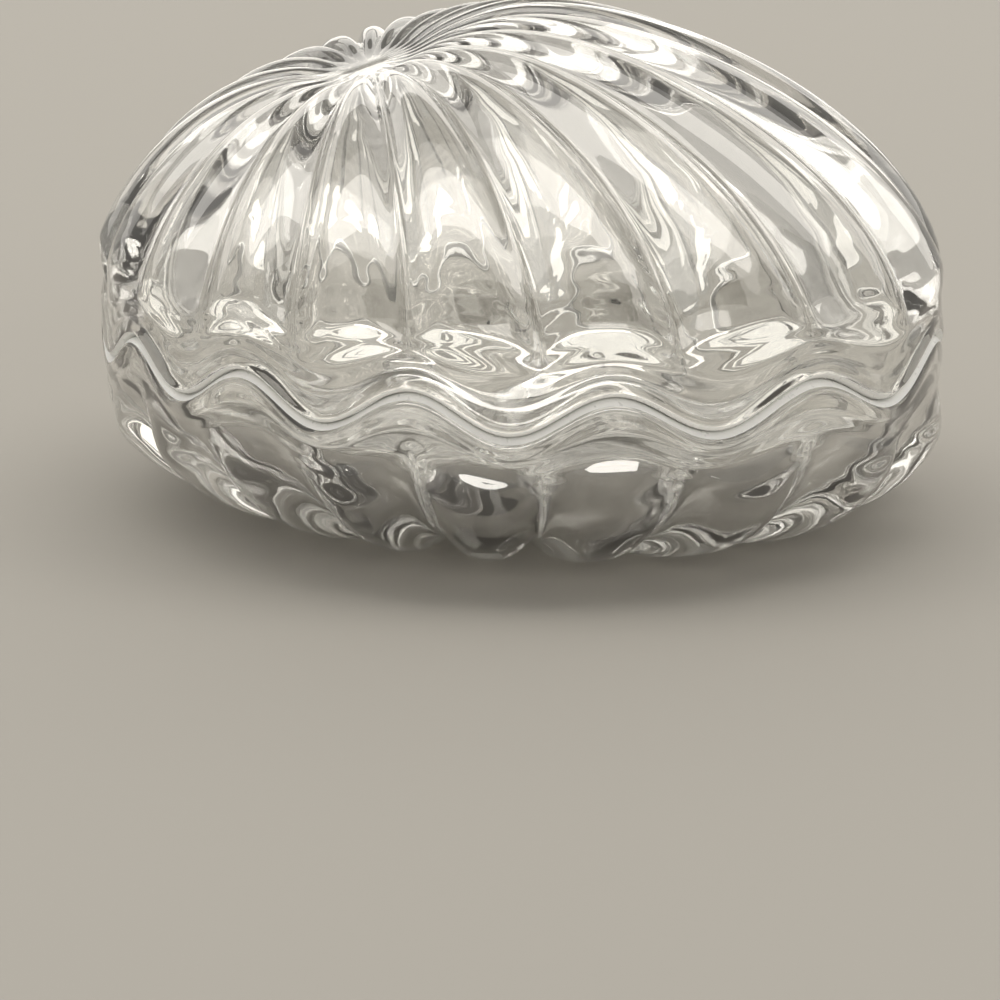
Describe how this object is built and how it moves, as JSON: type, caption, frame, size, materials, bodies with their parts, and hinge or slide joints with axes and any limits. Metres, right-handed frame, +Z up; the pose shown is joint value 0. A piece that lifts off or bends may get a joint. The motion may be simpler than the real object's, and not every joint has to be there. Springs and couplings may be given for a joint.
{
  "type": "trinket box",
  "caption": "Clam-shell trinket box of clear pressed crystal glass: a deep ribbed lid lifts off a ribbed base along a wavy seam.",
  "frame": {"origin": "on the table, under the middle of the box", "axes": "+Z up, -Y to the front of the box, +X to the right, along the long axis of the seam oval"},
  "size_m": [0.1307, 0.1146, 0.0759],
  "materials": {
    "crystal": "clear, fire polished, with a ground seam"
  },
  "bodies": {
    "base_shell": {"base": "crystal"},
    "lid_shell": {"lid": "crystal"}
  },
  "joints": [
    {"name": "lid_lift", "type": "slide", "parent": "base_shell", "child": "lid_shell", "axis": [0, 0, 1], "range_m": [0, 0.07]}
  ]
}
